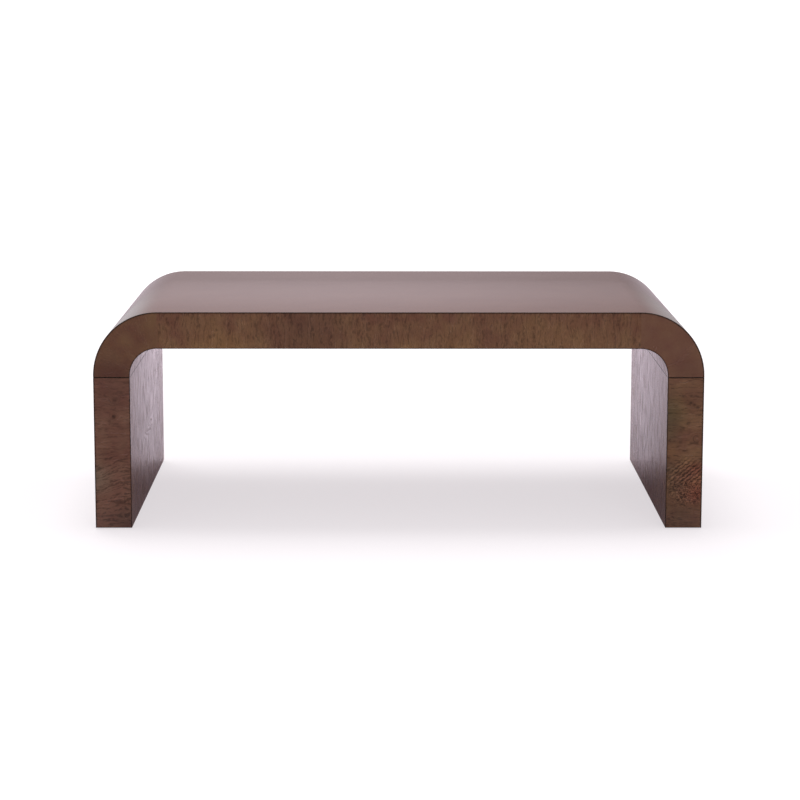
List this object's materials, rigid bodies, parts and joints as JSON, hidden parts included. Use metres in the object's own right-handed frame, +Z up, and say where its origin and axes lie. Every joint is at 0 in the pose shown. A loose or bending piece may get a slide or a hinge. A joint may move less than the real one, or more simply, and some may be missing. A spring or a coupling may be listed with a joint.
{
  "type": "waterfall coffee table",
  "caption": "Low table whose veneered top bends down at both ends into upright panel legs, bolted on at a seam.",
  "frame": {"origin": "on the floor under the centre of the table, level with the underside of the glides", "axes": "+X along the table's length, +Y towards its back, +Z up"},
  "size_m": [1.27, 0.762, 0.4572],
  "materials": {
    "oak_face_veneer": "oak veneer with open pores, stained dark brown, satin lacquer",
    "oak_edge_band": "oak veneer edging, grain across the edge, stained dark brown, satin lacquer",
    "fibreboard": "raw medium density fibreboard",
    "plywood": "raw sanded plywood",
    "softwood": "planed softwood, unfinished",
    "beech": "planed beech, unfinished",
    "zinc_steel": "zinc plated",
    "insert_brass": "turned brass",
    "glide_plastic": "moulded, dark brown"
  },
  "bodies": {
    "root": {"top_outer_veneer": "oak_face_veneer", "top_underside_veneer": "oak_face_veneer", "top_front_edge_band": "oak_edge_band", "top_back_edge_band": "oak_edge_band", "top_front_left_corner_band": "oak_edge_band", "top_front_right_corner_band": "oak_edge_band", "top_back_left_corner_band": "oak_edge_band", "top_back_right_corner_band": "oak_edge_band", "left_leg_outer_veneer": "oak_face_veneer", "left_leg_inner_veneer": "oak_face_veneer", "right_leg_outer_veneer": "oak_face_veneer", "right_leg_inner_veneer": "oak_face_veneer", "left_leg_front_edge_band": "oak_edge_band", "left_leg_back_edge_band": "oak_edge_band", "right_leg_front_edge_band": "oak_edge_band", "right_leg_back_edge_band": "oak_edge_band", "top_upper_skin": "fibreboard", "top_lower_skin": "fibreboard", "left_outer_bend_skin": "fibreboard", "right_outer_bend_skin": "fibreboard", "left_inner_bend_skin": "plywood", "right_inner_bend_skin": "plywood", "left_leg_outer_skin": "fibreboard", "left_leg_inner_skin": "fibreboard", "right_leg_outer_skin": "fibreboard", "right_leg_inner_skin": "fibreboard", "skin_joint_tongues": "plywood", "top_cross_ribs": "plywood", "top_front_rail": "softwood", "top_back_rail": "softwood", "left_bend_rail": "softwood", "right_bend_rail": "softwood", "left_end_block": "softwood", "right_end_block": "softwood", "left_front_corner_former": "plywood", "left_back_corner_former": "plywood", "left_middle_corner_formers": "plywood", "right_front_corner_former": "plywood", "right_back_corner_former": "plywood", "right_middle_corner_formers": "plywood", "left_leg_front_stile": "softwood", "left_leg_back_stile": "softwood", "left_leg_top_rail": "softwood", "left_leg_bottom_rail": "softwood", "right_leg_front_stile": "softwood", "right_leg_back_stile": "softwood", "right_leg_top_rail": "softwood", "right_leg_bottom_rail": "softwood", "left_leg_ribs": "plywood", "right_leg_ribs": "plywood", "tie_rods": "zinc_steel", "tie_rod_washers": "zinc_steel", "tie_rod_nuts": "zinc_steel", "tie_rod_inserts": "insert_brass", "seam_tenons": "beech", "leg_glides": "glide_plastic"}
  },
  "joints": []
}
